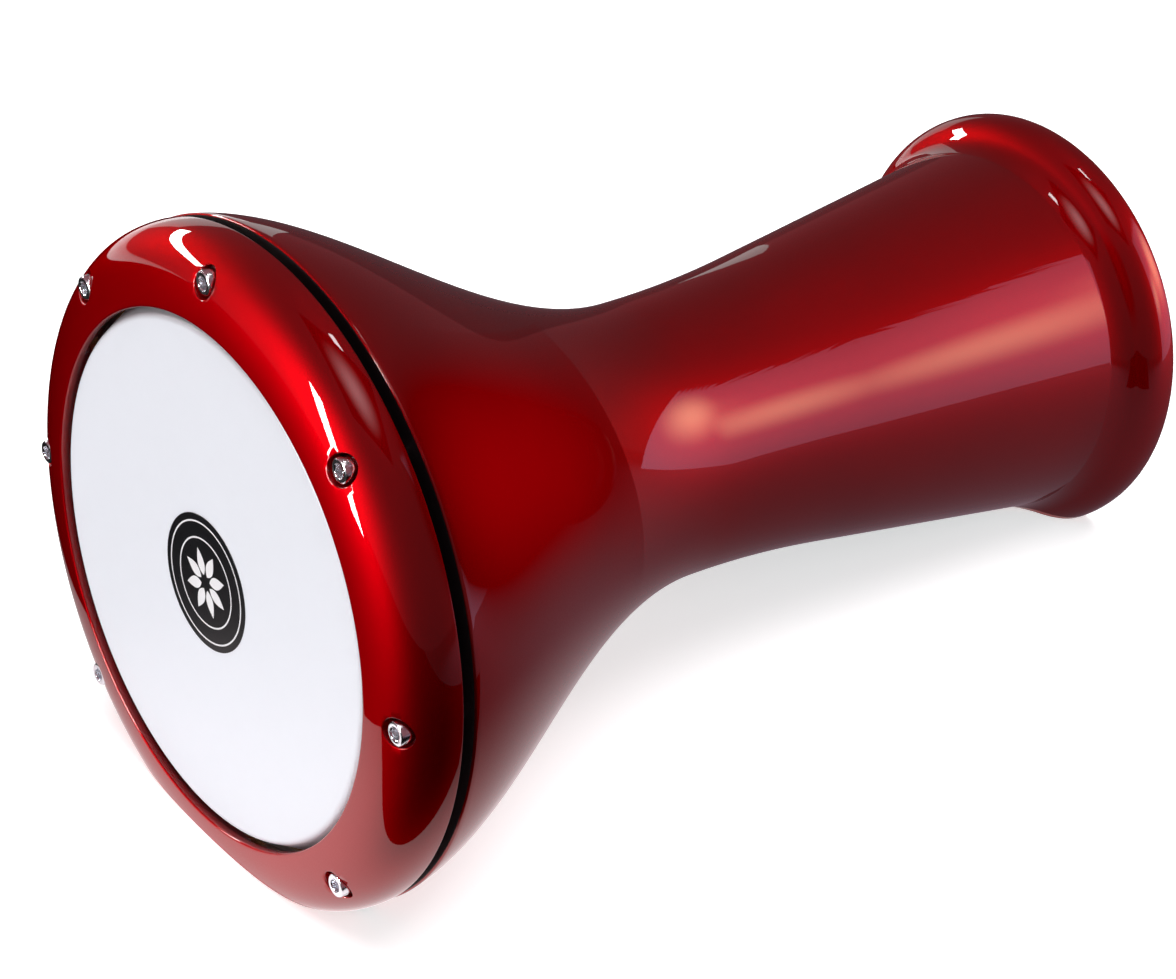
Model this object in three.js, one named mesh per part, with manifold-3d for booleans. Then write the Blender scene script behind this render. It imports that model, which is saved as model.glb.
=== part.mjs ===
// Goblet drum (darbuka): a one-piece cast aluminium shell, a synthetic head on a bearing collar,
// and a cast tuning ring that eight socket-head bolts pull down over the head's hoop.
//
// Millimetres. +Z is the drum's axis, from the foot to the playing head. The foot stands on z = 0,
// and the first bolt lies on the +X side. Positions called "height" are measured from the foot.

import * as THREE from 'three';
import { mergeVertices } from 'three/addons/utils/BufferGeometryUtils.js';
import Module from 'manifold-3d';

const wasm = await Module();
wasm.setup();

// ---- Driving dimensions ---------------------------------------------------------------------

// Overall
const drumHeight = 449; // foot to the top of the tuning ring's lip
const ringRadius = 140; // outside of the tuning ring, and of the shell's rim
const footRadius = 99;
const throatRadius = 61.4; // narrowest place of the neck, outside
const throatHeight = 230;

// Shell: tube, neck and bowl
const wall = 4.5;
const tubeRadius = 85; // outside of the tube where it leaves the foot
const neckBlendRadius = 530; // long hollow curve from the straight tube into the throat
const bowlFlareLength = 71; // how far the bowl keeps the throat's direction
const bowlShoulderLength = 48; // how far the bowl keeps the rim's direction
const rimLean = THREE.MathUtils.degToRad(8); // outward lean of the bowl at the rim
const rimEdge = 1; // small bevel between bowl and flange

// Shell: foot
const footHeight = 27; // crease between foot and tube
const footShoulderHeight = 17;
const footShoulderStep = 6.4; // shoulder's reach beyond the tube
const footEdgeHeight = 3.6; // where the foot is widest
const footEdge = 0.9; // how far the foot's underside is rounded back
const footLand = 9; // width of the flat ring that the drum stands on

// Shell: flange and bearing collar under the head
const flangeThickness = 18;
const flangeFillet = 7; // slope that joins the flange to the bowl's inside
const collarWall = 5.7;
const bearingRound = 2.6; // outer round of the bearing edge
const bearingBevel = 2.2; // inner bevel of the bearing edge

// Tuning ring
const ringWidth = 30.2; // lip to outside, seen from the head
const ringHeight = 23.7; // lip to underside
const lipRound = 1;
const lipDepth = 3.1; // straight wall inside the lip
const ringFootRound = 0.6; // small bevel at the bottom of the outer wall
const tuningGap = 5.1; // open gap between ring and flange, at playing tension
const tuningDown = 3; // travel left for raising the pitch
const tuningUp = 2; // travel until the head is slack

// Head: film, hoop and resin
const filmThickness = 0.25;
const filmRecess = 2; // film below the top of the ring's lip
const filmEdgeDepth = 15.2; // film's outer edge below its playing face
const filmBendDepth = 11; // where the skirt turns straight down
const hoopHeight = 10.2;
const hoopWidth = 6;
const hoopWall = 1.2;
const hoopInnerDrop = 3.2; // inner wall of the hoop is lower than its outer wall
const resinDrop = 0.5; // resin below the hoop's inner wall
const resinFloor = 1; // resin under the film's slot
const labelRadius = 28.5;
const labelThickness = 0.2;

// M6 socket-head bolts, washers and threaded inserts
const boltCount = 8;
const boltInset = 17.3; // bolt circle outside the head opening
const boltRadius = 3;
const boltLength = 30;
const boltHeadRadius = 5;
const boltHeadHeight = 6;
const boltTipBevel = 0.6;
const boltHeadBevel = 0.5;
const socketAcrossFlats = 5;
const socketDepth = 3;
const boltSeatDrop = 8.5; // bolt head's seat below the top of the lip
const washerRadius = 5.5;
const washerThickness = 1.6;
const insertRadius = 4.5;
const insertLength = 12;

// Clearances
const lipOverlap = 2.6; // collar's outside inside the head opening
const filmGap = 0.3; // film to bearing edge
const slotGap = 0.32; // film's edge to the resin on each side
const hoopCollarGap = 2.4; // hoop around the bearing collar
const hoopRingGap = 0.4; // hoop inside the ring's rebate
const hoopFilmGap = 1.3; // ring's shoulder outside the film's skirt
const boltGap = 0.4; // radial, in the ring, the washer and the insert
const washerGap = 0.5; // radial, in the pocket
const insertGap = 0.3; // insert in its hole
const tipGap = 2; // bolt's tip above the bottom of its hole at full travel

// Facets
const bodySides = 40; // sides of the drum's large round pieces, a multiple of the bolts
const smallSides = 12; // sides of bolts, washers, inserts and their holes

// ---- Sizes that follow ----------------------------------------------------------------------

const openingRadius = ringRadius - ringWidth;
const boltCircleRadius = openingRadius + boltInset;
const ringUnderside = drumHeight - ringHeight;
const flangeTop = ringUnderside - tuningGap;
const flangeUnderside = flangeTop - flangeThickness;

const collarRadius = openingRadius - lipOverlap;
const filmTop = drumHeight - filmRecess;
const bearingTop = filmTop - filmThickness - filmGap;

const hoopInnerRadius = collarRadius + hoopCollarGap;
const hoopOuterRadius = hoopInnerRadius + hoopWidth;
const channelInner = hoopInnerRadius + hoopWall;
const channelOuter = hoopOuterRadius - hoopWall;
const filmEdgeRadius = (channelInner + channelOuter + filmThickness) / 2;
const filmEdge = filmTop - filmEdgeDepth;
const resinBottom = filmEdge - tuningUp - slotGap - resinFloor;
const hoopBottom = resinBottom - hoopWall;
const hoopTop = hoopBottom + hoopHeight;
const hoopInnerTop = hoopTop - hoopInnerDrop;

const boltSeat = drumHeight - boltSeatDrop;
const boltTip = boltSeat - boltLength;
const pocketRadius = washerRadius + washerGap;
const pocketFloor = boltSeat - washerThickness;
const boltHoleRadius = boltRadius + boltGap;

// ---- Solids ---------------------------------------------------------------------------------

// Closed solid from a geometry: only positions, shared vertices merged, no flat triangles.
function toSolid(geometry) {
  geometry.deleteAttribute('normal');
  geometry.deleteAttribute('uv');
  const merged = mergeVertices(geometry, 1e-4);
  const corners = merged.index.array;
  const triangles = [];
  for (let i = 0; i < corners.length; i += 3) {
    const [a, b, c] = [corners[i], corners[i + 1], corners[i + 2]];
    if (a !== b && b !== c && c !== a) {
      triangles.push(a, b, c);
    }
  }
  return new wasm.Manifold(new wasm.Mesh({
    numProp: 3,
    vertProperties: new Float32Array(merged.attributes.position.array),
    triVerts: new Uint32Array(triangles),
  }));
}

function toGeometry(solid) {
  const mesh = solid.getMesh();
  const geometry = new THREE.BufferGeometry();
  geometry.setAttribute('position', new THREE.BufferAttribute(mesh.vertProperties, mesh.numProp));
  geometry.setIndex(new THREE.BufferAttribute(mesh.triVerts, 1));
  geometry.computeVertexNormals();
  return geometry;
}

// Turns an outline about +Z. It runs anticlockwise with the radius to the right and height up,
// and either closes on itself or starts and ends on the axis.
function turned(outline, sides) {
  const geometry = new THREE.LatheGeometry(outline, sides);
  geometry.rotateX(Math.PI / 2);
  return toSolid(geometry);
}

function closed(outline) {
  return [...outline, outline[0].clone()];
}

function point(radius, height) {
  return new THREE.Vector2(radius, height);
}

// Washer, insert and plug shapes: a plain ring or, with no bore, a plain disc.
function turnedRing(innerRadius, outerRadius, bottom, top, sides) {
  const outer = [point(outerRadius, bottom), point(outerRadius, top)];
  if (innerRadius === 0) {
    return turned([point(0, bottom), ...outer, point(0, top)], sides);
  }
  return turned(closed([...outer, point(innerRadius, top), point(innerRadius, bottom)]), sides);
}

// Outline moved sideways by a distance, to the left of its direction of travel.
function offsetOutline(outline, distance) {
  return outline.map((place, i) => {
    const before = outline[Math.max(i - 1, 0)];
    const after = outline[Math.min(i + 1, outline.length - 1)];
    const ahead = after.clone().sub(place).normalize();
    const behind = place.clone().sub(before).normalize();
    const along = ahead.clone().add(behind).normalize();
    const cosHalf = along.dot(ahead.lengthSq() > 0 ? ahead : behind);
    return point(place.x - along.y * distance / cosHalf, place.y + along.x * distance / cosHalf);
  });
}

function boltPlaces() {
  return Array.from({ length: boltCount }, (_, i) => {
    const angle = i * 2 * Math.PI / boltCount;
    return new THREE.Vector3(Math.cos(angle), Math.sin(angle), 0).multiplyScalar(boltCircleRadius);
  });
}

// The same cutter taken out of a solid at every bolt.
function cutAtBolts(solid, cutter) {
  return boltPlaces().reduce(
    (rest, place) => rest.subtract(cutter.translate([place.x, place.y, place.z])), solid);
}

// ---- Shell ----------------------------------------------------------------------------------

// Outside of the shell from the foot's underside up to the rim.
function shellOutside() {
  const shoulder = point(tubeRadius + footShoulderStep, footShoulderHeight);
  const foot = new THREE.Path();
  foot.moveTo(footRadius - footEdge, 0);
  foot.quadraticCurveTo(footRadius, footEdgeHeight / 6, footRadius, footEdgeHeight);
  foot.bezierCurveTo(
    footRadius, (footEdgeHeight + shoulder.y) / 2,
    shoulder.x + footShoulderStep * 0.6, shoulder.y - footShoulderStep * 0.4,
    shoulder.x, shoulder.y);
  foot.quadraticCurveTo(
    shoulder.x - footShoulderStep * 0.65, shoulder.y + footShoulderStep * 0.45,
    tubeRadius, footHeight);

  // The straight tube ends where it touches the neck's blend circle.
  const centre = point(throatRadius + neckBlendRadius, throatHeight);
  const toCentre = centre.clone().sub(point(tubeRadius, footHeight));
  const lean = toCentre.angle() - Math.acos(neckBlendRadius / toCentre.length());
  const neck = new THREE.Path();
  neck.absarc(centre.x, centre.y, neckBlendRadius, Math.PI + lean, Math.PI, true);

  const bowl = new THREE.Path();
  bowl.moveTo(throatRadius, throatHeight);
  bowl.bezierCurveTo(
    throatRadius, throatHeight + bowlFlareLength,
    ringRadius - bowlShoulderLength * Math.sin(rimLean),
    flangeTop - rimEdge - bowlShoulderLength * Math.cos(rimLean),
    ringRadius, flangeTop - rimEdge);

  return [...foot.getPoints(3), ...neck.getPoints(2), ...bowl.getPoints(10).slice(1)];
}

function makeShell() {
  const outside = shellOutside();
  const tubeAndBowl = outside.filter((place) => place.y >= footHeight);
  const inside = offsetOutline(tubeAndBowl, wall)
    .filter((place) => place.y < flangeUnderside - flangeFillet);
  const wallTop = inside[inside.length - 1];
  const collarInner = collarRadius - collarWall;

  const bearingEdge = new THREE.Path();
  bearingEdge.absarc(collarRadius - bearingRound, bearingTop - bearingRound, bearingRound,
    0, Math.PI / 2, false);

  const outline = [
    ...outside,
    point(ringRadius - rimEdge, flangeTop),
    point(collarRadius, flangeTop),
    ...bearingEdge.getPoints(2),
    point(collarInner + bearingBevel, bearingTop),
    point(collarInner, bearingTop - bearingBevel),
    point(collarInner, flangeUnderside + rimEdge),
    point(collarInner + rimEdge, flangeUnderside),
    point(wallTop.x - flangeFillet, flangeUnderside),
    ...inside.reverse(),
    point(footRadius - footEdge - footLand, 0),
  ];

  // Stepped blind hole: wide for the insert, narrower below it for the bolt's tip.
  const insertHole = turnedRing(0, insertRadius + insertGap,
    flangeTop - insertLength - insertGap, flangeTop + 1, smallSides);
  const tipHole = turnedRing(0, boltHoleRadius,
    boltTip - tuningDown - tipGap, flangeTop, smallSides);
  return cutAtBolts(turned(closed(outline), bodySides), insertHole.add(tipHole));
}

// ---- Head -----------------------------------------------------------------------------------

// Upper face of the film: flat, round over the bearing edge, then down into the hoop.
function filmFace() {
  const centre = point(collarRadius - bearingRound, bearingTop - bearingRound);
  const bendRadius = bearingRound + filmGap + filmThickness;
  const bend = point(filmEdgeRadius, filmTop - filmBendDepth);
  const toBend = bend.clone().sub(centre);
  const skirtNormal = Math.atan2(toBend.y, toBend.x) + Math.acos(bendRadius / toBend.length());
  const round = new THREE.Path();
  round.absarc(centre.x, centre.y, bendRadius, Math.PI / 2, skirtNormal, true);
  return [point(0, filmTop), ...round.getPoints(2), bend, point(filmEdgeRadius, filmEdge)];
}

function makeFilm() {
  const face = filmFace();
  const back = offsetOutline(face, -filmThickness);
  return turned([...back, ...face.reverse()], bodySides);
}

// Hoop: a channel, open at the top, that holds the film's edge in resin.
function makeHoop() {
  return turned(closed([
    point(hoopInnerRadius, hoopBottom),
    point(hoopOuterRadius, hoopBottom),
    point(hoopOuterRadius, hoopTop),
    point(channelOuter, hoopTop),
    point(channelOuter, resinBottom),
    point(channelInner, resinBottom),
    point(channelInner, hoopInnerTop),
    point(hoopInnerRadius, hoopInnerTop),
  ]), bodySides);
}

// Resin in the channel, with a slot that leaves the film's edge room for the tuning travel.
function makeResin() {
  const resinTop = hoopInnerTop - resinDrop;
  const slotBottom = resinBottom + resinFloor;
  const slotInner = filmEdgeRadius - filmThickness - slotGap;
  const slotOuter = filmEdgeRadius + slotGap;
  return turned(closed([
    point(channelInner, resinBottom),
    point(channelOuter, resinBottom),
    point(channelOuter, resinTop),
    point(slotOuter, resinTop),
    point(slotOuter, slotBottom),
    point(slotInner, slotBottom),
    point(slotInner, resinTop),
    point(channelInner, resinTop),
  ]), bodySides);
}

// ---- Tuning ring ----------------------------------------------------------------------------

function makeTuningRing() {
  const rebateRadius = hoopOuterRadius + hoopRingGap;
  const crown = new THREE.Path();
  crown.moveTo(ringRadius, ringUnderside + ringFootRound);
  crown.bezierCurveTo(
    ringRadius, drumHeight - ringHeight * 0.25,
    openingRadius + ringWidth * 0.57, drumHeight - lipRound,
    openingRadius + lipRound, drumHeight);

  const outline = [
    point(ringRadius - ringFootRound, ringUnderside),
    ...crown.getPoints(9),
    point(openingRadius, drumHeight - lipRound),
    point(openingRadius, drumHeight - lipDepth),
    point(filmEdgeRadius + hoopFilmGap, hoopTop),
    point(rebateRadius, hoopTop),
    point(rebateRadius, ringUnderside),
  ];

  // Stepped hole: a pocket for the bolt's head and washer over a clearance hole.
  const pocket = turnedRing(0, pocketRadius, pocketFloor, drumHeight + 1, smallSides);
  const clearance = turnedRing(0, boltHoleRadius, ringUnderside - 1, drumHeight, smallSides);
  return cutAtBolts(turned(closed(outline), bodySides), pocket.add(clearance));
}

// ---- Bolts, washers and inserts -------------------------------------------------------------

function makeBolt() {
  const headTop = boltSeat + boltHeadHeight;
  const body = turned([
    point(0, boltTip),
    point(boltRadius - boltTipBevel, boltTip),
    point(boltRadius, boltTip + boltTipBevel),
    point(boltRadius, boltSeat),
    point(boltHeadRadius, boltSeat),
    point(boltHeadRadius, headTop - boltHeadBevel),
    point(boltHeadRadius - boltHeadBevel, headTop),
    point(0, headTop),
  ], smallSides);
  const socketRadius = socketAcrossFlats / 2 / Math.cos(Math.PI / 6);
  const socket = turnedRing(0, socketRadius, headTop - socketDepth, headTop + 1, 6);
  return body.subtract(socket);
}

function makeWasher() {
  return turnedRing(boltHoleRadius, washerRadius, pocketFloor, boltSeat, smallSides);
}

function makeInsert() {
  return turnedRing(boltHoleRadius, insertRadius, flangeTop - insertLength, flangeTop, smallSides);
}

// ---- Assembly -------------------------------------------------------------------------------

const lacquer = { color: 0x9c0a12, roughness: 0.18, metalness: 0.6 };
const bareAluminium = { color: 0xb9bcc0, roughness: 0.4, metalness: 1 };
const zincPlate = { color: 0xd3d7dc, roughness: 0.25, metalness: 1 };
const brass = { color: 0xb99a52, roughness: 0.35, metalness: 1 };
const whiteFilm = { color: 0xeef3fb, roughness: 0.4, metalness: 0 };
const amberResin = { color: 0x8a6a3a, roughness: 0.5, metalness: 0 };
const blackVinyl = { color: 0x17181c, roughness: 0.45, metalness: 0 };

const drum = new THREE.Group();

function addPiece(name, solid, finish, place = new THREE.Vector3()) {
  const mesh = new THREE.Mesh(toGeometry(solid), new THREE.MeshStandardMaterial(finish));
  mesh.name = name;
  mesh.position.copy(place);
  drum.add(mesh);
}

addPiece('shell', makeShell(), lacquer);
addPiece('tuning_ring', makeTuningRing(), lacquer);
addPiece('head_film', makeFilm(), whiteFilm);
addPiece('head_hoop', makeHoop(), bareAluminium);
addPiece('hoop_resin', makeResin(), amberResin);
addPiece('head_label',
  turnedRing(0, labelRadius, filmTop, filmTop + labelThickness, bodySides), blackVinyl);

boltPlaces().forEach((place, i) => {
  addPiece(`bolt_${i + 1}`, makeBolt(), zincPlate, place);
  addPiece(`washer_${i + 1}`, makeWasher(), zincPlate, place);
  addPiece(`insert_${i + 1}`, makeInsert(), brass, place);
});

export default drum;
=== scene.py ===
import math

import bmesh
import bpy
import numpy as np
from bpy.props import FloatProperty, IntProperty, PointerProperty, StringProperty
from mathutils import Matrix, Vector


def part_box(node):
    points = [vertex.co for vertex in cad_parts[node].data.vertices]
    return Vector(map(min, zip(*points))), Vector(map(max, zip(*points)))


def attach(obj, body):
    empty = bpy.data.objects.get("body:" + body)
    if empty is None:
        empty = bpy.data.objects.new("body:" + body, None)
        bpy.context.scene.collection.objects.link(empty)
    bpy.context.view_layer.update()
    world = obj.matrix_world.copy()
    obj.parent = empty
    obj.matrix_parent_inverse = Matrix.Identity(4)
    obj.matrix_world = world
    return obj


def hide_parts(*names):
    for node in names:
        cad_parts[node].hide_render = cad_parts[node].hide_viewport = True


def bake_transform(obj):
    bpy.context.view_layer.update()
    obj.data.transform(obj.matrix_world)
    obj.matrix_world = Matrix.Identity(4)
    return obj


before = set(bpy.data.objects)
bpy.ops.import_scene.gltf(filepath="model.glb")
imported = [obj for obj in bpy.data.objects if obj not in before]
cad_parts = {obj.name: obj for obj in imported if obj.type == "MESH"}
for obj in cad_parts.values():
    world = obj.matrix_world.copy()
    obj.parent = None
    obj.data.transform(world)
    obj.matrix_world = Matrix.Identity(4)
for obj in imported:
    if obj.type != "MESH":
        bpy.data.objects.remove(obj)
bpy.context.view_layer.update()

bl_info = {
    "name": "Goblet Drum",
    "version": (1, 0, 0),
    "blender": (4, 5, 0),
    "location": "View3D > Sidebar > Goblet Drum",
    "description": "Builds the finished surfaces of a cast goblet drum around its CAD frame",
    "category": "Object",
}

MM = 0.001


def in_millimetres(box):
    """The lowest and highest corner of a box given in metres."""
    return [corner / MM for corner in box]


# Where the CAD puts each piece.
RING_LOW, RING_HIGH = in_millimetres(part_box("tuning_ring"))
SHELL_HIGH = in_millimetres(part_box("shell"))[1]
FILM_LOW, FILM_HIGH = in_millimetres(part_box("head_film"))
HOOP_LOW, HOOP_HIGH = in_millimetres(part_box("head_hoop"))
RESIN_LOW, RESIN_HIGH = in_millimetres(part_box("hoop_resin"))
LABEL_LOW, LABEL_HIGH = in_millimetres(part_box("head_label"))
BOLT_LOW, BOLT_HIGH = in_millimetres(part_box("bolt_1"))
WASHER_LOW, WASHER_HIGH = in_millimetres(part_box("washer_1"))
INSERT_LOW, INSERT_HIGH = in_millimetres(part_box("insert_1"))
BOLT_COUNT = len([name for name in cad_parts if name.startswith("bolt_")])

# How the pieces fit together, in millimetres.
BOLT_BORE = 3.4  # radius of the hole round a bolt
BEARING_ROUND = 2.6  # outer round of the edge that the film lies on
BEARING_BEVEL = 2.2  # its inner bevel
FILM_THICKNESS = 0.25
FILM_GAP = 0.3  # film to bearing edge
FILM_BEND_DEPTH = 11.0  # from the film's face to where its skirt turns straight down
SLOT_INNER, SLOT_OUTER = 0.57, 0.32  # sides of the resin's slot, from the film's outer face
HOOP_WIDTH = 6.0
HOOP_WALL = 1.2
HOOP_INNER_DROP = 3.2  # inner wall of the hoop below its outer wall
HOOP_TO_FILM = 1.3  # ring's shoulder outside the film
LIP_DEPTH = 3.1  # straight wall inside the ring's lip
RING_FOOT_EDGE = 0.6  # bevel at the bottom of the ring's outer wall
FOOT_EDGE_HEIGHT = 3.6  # where the shell's foot is widest


# ---- Sizes and colours a user would change ----

def millimetres(name, description, default):
    """A length in millimetres, as a property."""
    return FloatProperty(name=name, description=description, default=default, min=0.0, precision=2)


class GOBLETDRUM_PG_shell(bpy.types.PropertyGroup):
    """Sizes of the cast shell, in millimetres."""
    foot_radius: millimetres("Foot Radius", "Radius of the foot's widest edge", 99.0)
    tube_radius: millimetres("Tube Radius", "Radius of the tube where it leaves the foot", 85.0)
    throat_radius: millimetres("Throat Radius", "Radius at the narrowest place", 61.4)
    throat_height: millimetres("Throat Height", "Height of the narrowest place", 230.0)
    neck_blend: millimetres("Neck Blend", "Radius that blends the tube into the throat", 530.0)
    foot_height: millimetres("Foot Height", "Height where the foot's fillet ends", 27.0)
    flare_length: millimetres("Flare Length", "How far the bowl keeps the throat's line", 71.0)
    shoulder_length: millimetres("Shoulder Length", "How far the rim's line runs down the bowl", 48.0)
    wall: millimetres("Wall", "Thickness of the casting", 4.5)
    flange_top: millimetres("Flange Top", "Height of the rim's upper face", 420.2)
    flange_thickness: millimetres("Flange Thickness", "Depth of the rim's flange", 18.0)
    collar_radius: millimetres("Collar Radius", "Outside of the collar that carries the head", 107.2)
    collar_wall: millimetres("Collar Wall", "Thickness of the collar", 5.7)
    sides: IntProperty(name="Sides", description="Steps round the shell", default=240, min=24)


class GOBLETDRUM_PG_ring(bpy.types.PropertyGroup):
    """Sizes of the tuning ring, in millimetres."""
    radius: millimetres("Ring Radius", "Outside of the ring", RING_HIGH.x)
    top: millimetres("Lip Height", "Top of the ring's lip", RING_HIGH.z)
    underside: millimetres("Underside Height", "Underside of the ring", RING_LOW.z)
    opening: millimetres("Opening Radius", "Inside of the lip", 109.8)
    rebate: millimetres("Rebate Radius", "Room for the hoop", HOOP_HIGH.x + 0.4)
    pocket_radius: millimetres("Pocket Radius", "Radius of the pocket round a bolt head", 6.0)
    broken_edge: millimetres("Broken Edge", "How far the pocket's edge is dressed back", 0.55)
    sides: IntProperty(name="Sides", description="Steps round the ring", default=256, min=24)


class GOBLETDRUM_PG_bolt(bpy.types.PropertyGroup):
    """Sizes of a tuning bolt, in millimetres."""
    circle: millimetres("Bolt Circle", "Radius of the bolt circle", (BOLT_LOW.x + BOLT_HIGH.x) / 2)
    head_radius: millimetres("Head Radius", "Radius of the bolt's head", 5.0)
    head_height: millimetres("Head Height", "Height of the bolt's head", 6.0)
    radius: millimetres("Thread Radius", "Outside of the thread", 3.0)
    pitch: millimetres("Pitch", "Height of one turn of the thread", 1.0)
    socket: millimetres("Socket", "Size of the hexagon key", 5.0)
    socket_depth: millimetres("Socket Depth", "Depth of the hexagon socket", 3.0)
    knurls: IntProperty(name="Knurls", description="Ridges round the head", default=48, min=12)


def colour(name, description, default):
    """A colour as sRGB hex text."""
    return StringProperty(name=name, description=description, default=default)


class GOBLETDRUM_PG_finish(bpy.types.PropertyGroup):
    """Colours of the drum's finishes, in sRGB hex."""
    lacquer: colour("Candy Lacquer", "Red of the tinted lacquer over silver flake", "#a40007")
    lacquer_deep: colour("Deep Lacquer", "Red where the tinted coat lies thicker", "#900006")
    # Black for the rim face and collar: painted shade in the gap under the ring.
    primer_and_gap_shade: colour("Primer", "Satin primer on the rim and collar", "#141214")
    casting: colour("Raw Casting", "Inside of the casting", "#8c8a88")
    film: colour("Head Film", "White polyester of the head", "#eef3fb")
    vinyl: colour("Label Vinyl", "Ground of the round label", "#141519")
    ink: colour("Label Ink", "Printed ornament on the label", "#f1f2f4")
    zinc: colour("Zinc Plate", "Bolts and washers", "#eceff4")
    aluminium: colour("Extruded Aluminium", "Hoop", "#c4c6c9")
    resin: colour("Potting Resin", "Resin in the hoop", "#9a7638")
    brass: colour("Brass", "Threaded inserts", "#c9a257")
    floor: colour("Floor", "Studio floor", "#f4f3f4")


def linear(text):
    """sRGB hex text as linear RGBA."""
    shares = [int(text[i:i + 2], 16) / 255 for i in (1, 3, 5)]
    return [s / 12.92 if s <= 0.04045 else ((s + 0.055) / 1.055) ** 2.4 for s in shares] + [1.0]


# ---- Nodes ----

def add(tree, kind, inputs=None, **settings):
    """Adds a node with its settings. An input takes a value, a socket, or a node's first output."""
    node = tree.nodes.new(kind)
    for key, value in settings.items():
        setattr(node, key, value)
    for key, value in (inputs or {}).items():
        if isinstance(value, bpy.types.Node):
            value = value.outputs[0]
        if isinstance(value, bpy.types.NodeSocket):
            tree.links.new(value, node.inputs[key])
        else:
            node.inputs[key].default_value = value
    return node


def calc(tree, operation, *values, **settings):
    """A math node."""
    return add(tree, "ShaderNodeMath", dict(enumerate(values)), operation=operation, **settings)


def wire(tree, shader, **inputs):
    """Links nodes to a shader's inputs, by name."""
    for key, node in inputs.items():
        tree.links.new(node.outputs[0], shader.inputs[key.replace("_", " ")])


def on_circle(tree, radius, angle):
    """A place on a circle about +Z."""
    arm = add(tree, "ShaderNodeCombineXYZ", {"X": radius})
    return add(tree, "ShaderNodeVectorRotate", {"Vector": arm, "Angle": angle}, rotation_type="Z_AXIS")


def new_tree(name, sockets):
    """A geometry node tree with a geometry input, a finish and named sizes."""
    tree = bpy.data.node_groups.new(name, "GeometryNodeTree")
    tree.interface.new_socket("Geometry", in_out="INPUT", socket_type="NodeSocketGeometry")
    for label, kind in sockets:
        tree.interface.new_socket(label, in_out="INPUT", socket_type="NodeSocket" + kind)
    tree.interface.new_socket("Finish", in_out="INPUT", socket_type="NodeSocketMaterial")
    tree.interface.new_socket("Geometry", in_out="OUTPUT", socket_type="NodeSocketGeometry")
    return tree, tree.nodes.new("NodeGroupInput").outputs


def close_tree(tree, geometry, given):
    """Ends a tree in Realize Instances and Set Material."""
    real = add(tree, "GeometryNodeRealizeInstances", {"Geometry": geometry})
    made = add(tree, "GeometryNodeSetMaterial",
               {"Geometry": real.outputs["Geometry"], "Material": given["Finish"]})
    add(tree, "NodeGroupOutput", {"Geometry": made.outputs["Geometry"]})
    return tree


def turning_tree():
    """Turns an outline about +Z: one column of the grid for each step round."""
    tree, given = new_tree("turn_on_lathe", [("Sides", "Int"), ("Weld", "Float")])
    count = add(tree, "GeometryNodeAttributeDomainSize", {"Geometry": given["Geometry"]})
    rows = count.outputs["Point Count"]
    columns = calc(tree, "ADD", given["Sides"], 1.0)
    grid = add(tree, "GeometryNodeMeshGrid", {"Vertices X": columns, "Vertices Y": rows})
    index = add(tree, "GeometryNodeInputIndex")
    row = calc(tree, "MODULO", index, rows)
    column = calc(tree, "FLOOR", calc(tree, "DIVIDE", calc(tree, "ADD", index, 0.5), rows))
    turns = calc(tree, "DIVIDE", column, given["Sides"])
    angle = calc(tree, "MULTIPLY", turns, 2 * math.pi)
    place = add(tree, "GeometryNodeInputPosition")
    outline = add(tree, "GeometryNodeSampleIndex",
                  {"Geometry": given["Geometry"], "Value": place, "Index": row},
                  data_type="FLOAT_VECTOR", domain="POINT")
    turned_place = add(tree, "ShaderNodeVectorRotate",
                       {"Vector": outline.outputs["Value"], "Angle": angle}, rotation_type="Z_AXIS")
    moved = add(tree, "GeometryNodeSetPosition",
                {"Geometry": grid.outputs["Mesh"], "Position": turned_place})
    welded = add(tree, "GeometryNodeMergeByDistance",
                 {"Geometry": moved, "Distance": given["Weld"]})
    return close_tree(tree, welded, given)


def circle_tree():
    """Sets copies of one piece round a circle, each turned to face out."""
    tree, given = new_tree("copies_round_circle",
                           [("Count", "Int"), ("Radius", "Float"), ("Start", "Float")])
    index = add(tree, "GeometryNodeInputIndex")
    share = calc(tree, "DIVIDE", index, given["Count"])
    turn = calc(tree, "MULTIPLY_ADD", share, 2 * math.pi, given["Start"])
    turning = add(tree, "ShaderNodeCombineXYZ", {"Z": turn})
    place = on_circle(tree, given["Radius"], turn)
    points = add(tree, "GeometryNodePoints", {"Count": given["Count"], "Position": place})
    copies = add(tree, "GeometryNodeInstanceOnPoints",
                 {"Points": points, "Instance": given["Geometry"], "Rotation": turning})
    return close_tree(tree, copies, given)


def seat_tree():
    """Sets one bolt on the bolt circle, at its number's place, with its key turned a little."""
    tree, given = new_tree("seat_bolt", [("Number", "Int"), ("Count", "Int"), ("Radius", "Float"),
                                         ("Key Turn", "Float")])
    share = calc(tree, "DIVIDE", given["Number"], given["Count"])
    place = on_circle(tree, given["Radius"], calc(tree, "MULTIPLY", share, 2 * math.pi))
    key = add(tree, "ShaderNodeCombineXYZ", {"Z": given["Key Turn"]})
    moved = add(tree, "GeometryNodeTransform",
                {"Geometry": given["Geometry"], "Translation": place, "Rotation": key})
    return close_tree(tree, moved, given)


# ---- Meshes ----

def mesh_object(name, points, edges, faces):
    """A new object from points in millimetres."""
    mesh = bpy.data.meshes.new(name)
    mesh.from_pydata([[c * MM for c in p] for p in points], edges, faces)
    piece = bpy.data.objects.new(name, mesh)
    bpy.context.scene.collection.objects.link(piece)
    return piece


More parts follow.
